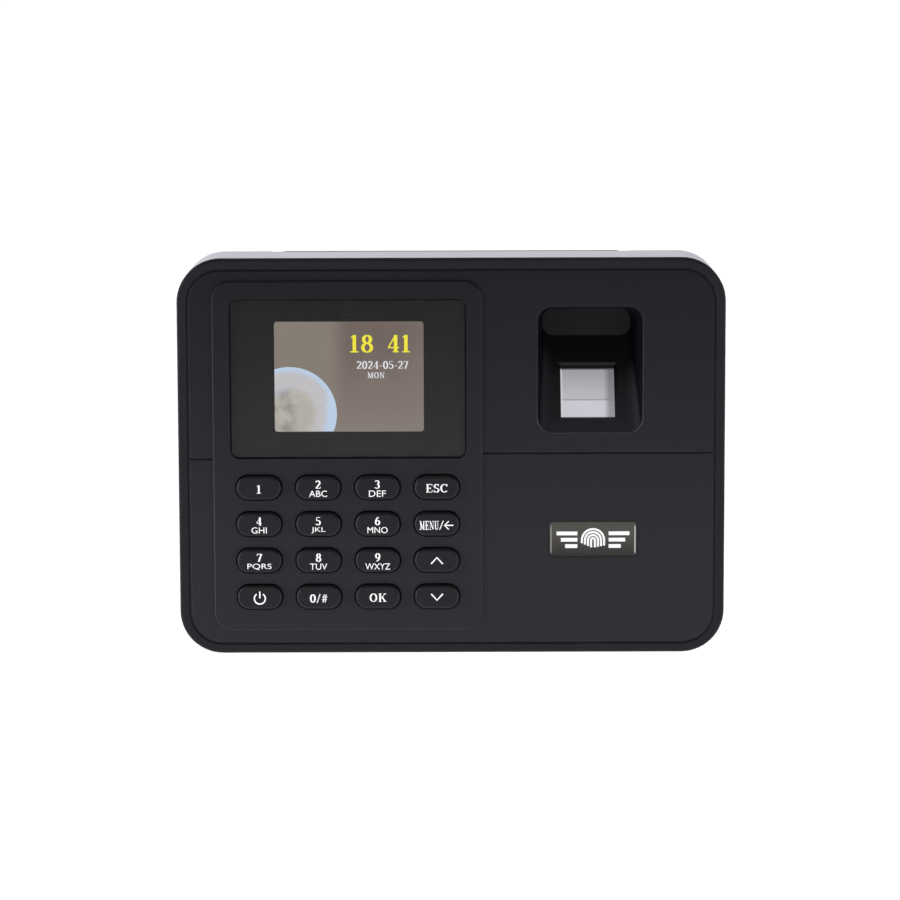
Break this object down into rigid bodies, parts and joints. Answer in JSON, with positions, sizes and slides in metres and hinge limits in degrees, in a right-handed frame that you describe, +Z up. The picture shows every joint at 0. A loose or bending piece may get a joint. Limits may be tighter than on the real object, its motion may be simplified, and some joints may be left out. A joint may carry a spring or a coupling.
{
  "type": "fingerprint scanner terminal",
  "caption": "Wall-mounted fingerprint terminal: black front with display, keypad, tilted optical sensor in a finger pocket and badge, silver rear cover on a hook-on steel bracket.",
  "frame": {"origin": "on the wall plane, in the middle of the four wall screws", "axes": "+X right seen from the front, +Y into the wall, +Z up; the front faces -Y"},
  "size_m": [0.178, 0.0354, 0.1333],
  "materials": {
    "cover_black": "satin black moulded ABS with a very fine spark texture",
    "cover_silver": "satin light silver-grey moulded ABS",
    "key_black": "satin black hard key cap with white printed legend",
    "window_tint": "smoke-tinted clear acrylic, polished",
    "mask_black": "opaque dark print",
    "tape_black": "black foam tape",
    "backlight_white": "white moulded light guide tray",
    "lcd_glass": "colour display glass, lit from behind",
    "flex_amber": "polyimide flat tail",
    "label_foil": null,
    "dome_resin": "clear domed resin",
    "silicone_grey": "grey silicone",
    "board_green": "green solder mask",
    "screw_zinc": "zinc plated",
    "chip_black": "moulded package",
    "can_silver": "bare can",
    "holder_black": "black moulded nylon",
    "cell_steel": "nickel plated cell",
    "header_white": "ivory nylon",
    "relay_blue": "blue moulded cover",
    "socket_steel": "tinned shell",
    "socket_black": "black moulded body",
    "ribbon_white": "flat flexible cable",
    "speaker_black": "black pressed frame",
    "cone_paper": "black film cone",
    "magnet_grey": "zinc passivated yoke",
    "wire_grey": "insulated lead",
    "sensor_glass": "polished optical glass over a pale diffuser",
    "lens_glass": "coated lens",
    "lamp_clear": "clear lamp body",
    "bracket_black": "black powder coat on steel sheet",
    "screw_black": "black oxide"
  },
  "bodies": {
    "bracket": {"wall_bracket": "bracket_black"},
    "lock_screw": {"lock_screw": "screw_black"},
    "terminal": {"front_cover": "cover_black", "rear_cover": "cover_silver", "display_window": "window_tint", "window_mask": "mask_black", "window_tape": "tape_black", "lcd_backlight": "backlight_white", "lcd_glass": "lcd_glass", "lcd_flex": "flex_amber", "badge_label": "label_foil", "badge_dome": "dome_resin", "keypad_mat": "silicone_grey", "front_board": "board_green", "front_board_screws": "screw_zinc", "main_board": "board_green", "main_board_screws": "screw_zinc", "chips": "chip_black", "capacitors": "can_silver", "battery_holder": "holder_black", "clock_battery": "cell_steel", "wiring_headers": "header_white", "door_relay": "relay_blue", "network_socket": "socket_steel", "usb_socket": "socket_steel", "power_socket": "socket_black", "ribbon_sockets": "header_white", "board_ribbon": "ribbon_white", "speaker_frame": "speaker_black", "speaker_cone": "cone_paper", "speaker_magnet": "magnet_grey", "speaker_wires": "wire_grey", "sensor_prism": "sensor_glass", "sensor_housing": "holder_black", "sensor_screws": "screw_zinc", "sensor_lens": "lens_glass", "sensor_board": "board_green", "sensor_chip": "chip_black", "sensor_lamps": "lamp_clear", "sensor_cable": "wire_grey", "casing_screws": "screw_zinc"},
    "key_1": {"key_1": "key_black"},
    "key_2": {"key_2": "key_black"},
    "key_3": {"key_3": "key_black"},
    "key_esc": {"key_esc": "key_black"},
    "key_4": {"key_4": "key_black"},
    "key_5": {"key_5": "key_black"},
    "key_6": {"key_6": "key_black"},
    "key_menu": {"key_menu": "key_black"},
    "key_7": {"key_7": "key_black"},
    "key_8": {"key_8": "key_black"},
    "key_9": {"key_9": "key_black"},
    "key_up": {"key_up": "key_black"},
    "key_power": {"key_power": "key_black"},
    "key_0": {"key_0": "key_black"},
    "key_ok": {"key_ok": "key_black"},
    "key_down": {"key_down": "key_black"}
  },
  "joints": [
    {"name": "terminal_lift", "type": "slide", "parent": "bracket", "child": "terminal", "axis": [0, 0, 1], "range_m": [0, 0.006]},
    {"name": "lock_screw_out", "type": "slide", "parent": "bracket", "child": "lock_screw", "axis": [0, 0, -1], "range_m": [0, 0.0055]},
    {"name": "press_key_1", "type": "slide", "parent": "terminal", "child": "key_1", "axis": [0, 1, 0], "range_m": [0, 0.0009], "stiffness_N_per_m": 150},
    {"name": "press_key_2", "type": "slide", "parent": "terminal", "child": "key_2", "axis": [0, 1, 0], "range_m": [0, 0.0009], "stiffness_N_per_m": 150},
    {"name": "press_key_3", "type": "slide", "parent": "terminal", "child": "key_3", "axis": [0, 1, 0], "range_m": [0, 0.0009], "stiffness_N_per_m": 150},
    {"name": "press_key_esc", "type": "slide", "parent": "terminal", "child": "key_esc", "axis": [0, 1, 0], "range_m": [0, 0.0009], "stiffness_N_per_m": 150},
    {"name": "press_key_4", "type": "slide", "parent": "terminal", "child": "key_4", "axis": [0, 1, 0], "range_m": [0, 0.0009], "stiffness_N_per_m": 150},
    {"name": "press_key_5", "type": "slide", "parent": "terminal", "child": "key_5", "axis": [0, 1, 0], "range_m": [0, 0.0009], "stiffness_N_per_m": 150},
    {"name": "press_key_6", "type": "slide", "parent": "terminal", "child": "key_6", "axis": [0, 1, 0], "range_m": [0, 0.0009], "stiffness_N_per_m": 150},
    {"name": "press_key_menu", "type": "slide", "parent": "terminal", "child": "key_menu", "axis": [0, 1, 0], "range_m": [0, 0.0009], "stiffness_N_per_m": 150},
    {"name": "press_key_7", "type": "slide", "parent": "terminal", "child": "key_7", "axis": [0, 1, 0], "range_m": [0, 0.0009], "stiffness_N_per_m": 150},
    {"name": "press_key_8", "type": "slide", "parent": "terminal", "child": "key_8", "axis": [0, 1, 0], "range_m": [0, 0.0009], "stiffness_N_per_m": 150},
    {"name": "press_key_9", "type": "slide", "parent": "terminal", "child": "key_9", "axis": [0, 1, 0], "range_m": [0, 0.0009], "stiffness_N_per_m": 150},
    {"name": "press_key_up", "type": "slide", "parent": "terminal", "child": "key_up", "axis": [0, 1, 0], "range_m": [0, 0.0009], "stiffness_N_per_m": 150},
    {"name": "press_key_power", "type": "slide", "parent": "terminal", "child": "key_power", "axis": [0, 1, 0], "range_m": [0, 0.0009], "stiffness_N_per_m": 150},
    {"name": "press_key_0", "type": "slide", "parent": "terminal", "child": "key_0", "axis": [0, 1, 0], "range_m": [0, 0.0009], "stiffness_N_per_m": 150},
    {"name": "press_key_ok", "type": "slide", "parent": "terminal", "child": "key_ok", "axis": [0, 1, 0], "range_m": [0, 0.0009], "stiffness_N_per_m": 150},
    {"name": "press_key_down", "type": "slide", "parent": "terminal", "child": "key_down", "axis": [0, 1, 0], "range_m": [0, 0.0009], "stiffness_N_per_m": 150}
  ]
}
